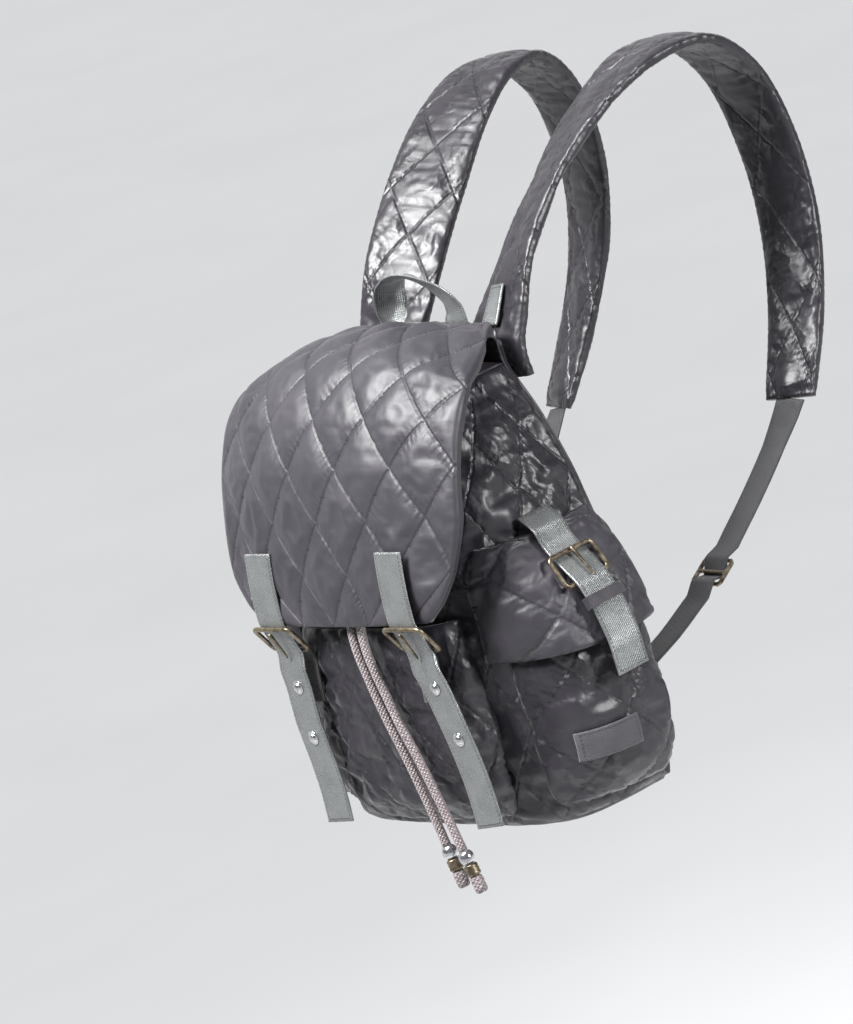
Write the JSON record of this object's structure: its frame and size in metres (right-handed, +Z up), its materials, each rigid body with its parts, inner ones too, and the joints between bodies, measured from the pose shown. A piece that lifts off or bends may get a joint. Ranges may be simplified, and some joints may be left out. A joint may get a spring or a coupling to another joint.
{
  "type": "quilted puffer backpack",
  "caption": "Soft quilted nylon backpack with a tongue flap, gathered mouth, buckled webbing straps, flapped side pockets, an open front pocket, drawcords and padded shoulder straps.",
  "frame": {"origin": "the point midway between the undersides of the two shoulder strap crests, where the pack hangs from the shoulders", "axes": "+Z up along the back panel, +Y from the back panel toward the wearer, +X to the right seen from the front of the bag"},
  "size_m": [0.3832, 0.449, 0.5243],
  "materials": {
    "puffer_nylon": "satin quilted nylon",
    "lining_nylon": "plain dark nylon",
    "silver_webbing": "satin grey webbing",
    "black_webbing": "plain webbing",
    "antique_metal": "antique plated",
    "bright_metal": "polished",
    "cord_cotton": "braided cord",
    "label_cloth": "woven label"
  },
  "bodies": {
    "root": {"body_wall": "puffer_nylon", "flap": "puffer_nylon", "front_pocket": "puffer_nylon", "side_pocket_right": "puffer_nylon", "side_pocket_left": "puffer_nylon", "side_pocket_flap_right": "puffer_nylon", "side_pocket_flap_left": "puffer_nylon", "base_panel": "lining_nylon", "back_panel": "lining_nylon", "mouth_collar": "lining_nylon", "side_keeper_right": "lining_nylon", "side_keeper_left": "lining_nylon", "buckle_tab_right": "lining_nylon", "buckle_tab_left": "lining_nylon", "shoulder_strap_right": "lining_nylon", "shoulder_strap_left": "lining_nylon", "side_strap_right": "silver_webbing", "side_strap_left": "silver_webbing", "flap_strap_right": "silver_webbing", "flap_strap_left": "silver_webbing", "haul_loop": "silver_webbing", "root_tab_right": "silver_webbing", "strap_webbing_right": "black_webbing", "strap_webbing_left": "black_webbing", "side_buckle_right": "antique_metal", "side_buckle_left": "antique_metal", "side_prong_right": "antique_metal", "side_prong_left": "antique_metal", "flap_buckle_right": "antique_metal", "flap_buckle_left": "antique_metal", "flap_prong_right": "antique_metal", "flap_prong_left": "antique_metal", "strap_adjuster_right": "antique_metal", "strap_adjuster_left": "antique_metal", "cord_eyelet_right": "antique_metal", "cord_eyelet_left": "antique_metal", "cord_collar_right": "antique_metal", "cord_collar_left": "antique_metal", "upper_rivet_right": "bright_metal", "upper_rivet_left": "bright_metal", "lower_rivet_right": "bright_metal", "lower_rivet_left": "bright_metal", "cord_bead_right": "bright_metal", "cord_bead_left": "bright_metal", "drawcord_right": "cord_cotton", "drawcord_left": "cord_cotton", "cord_knob_right": "cord_cotton", "cord_knob_left": "cord_cotton", "side_label": "label_cloth"}
  },
  "joints": []
}
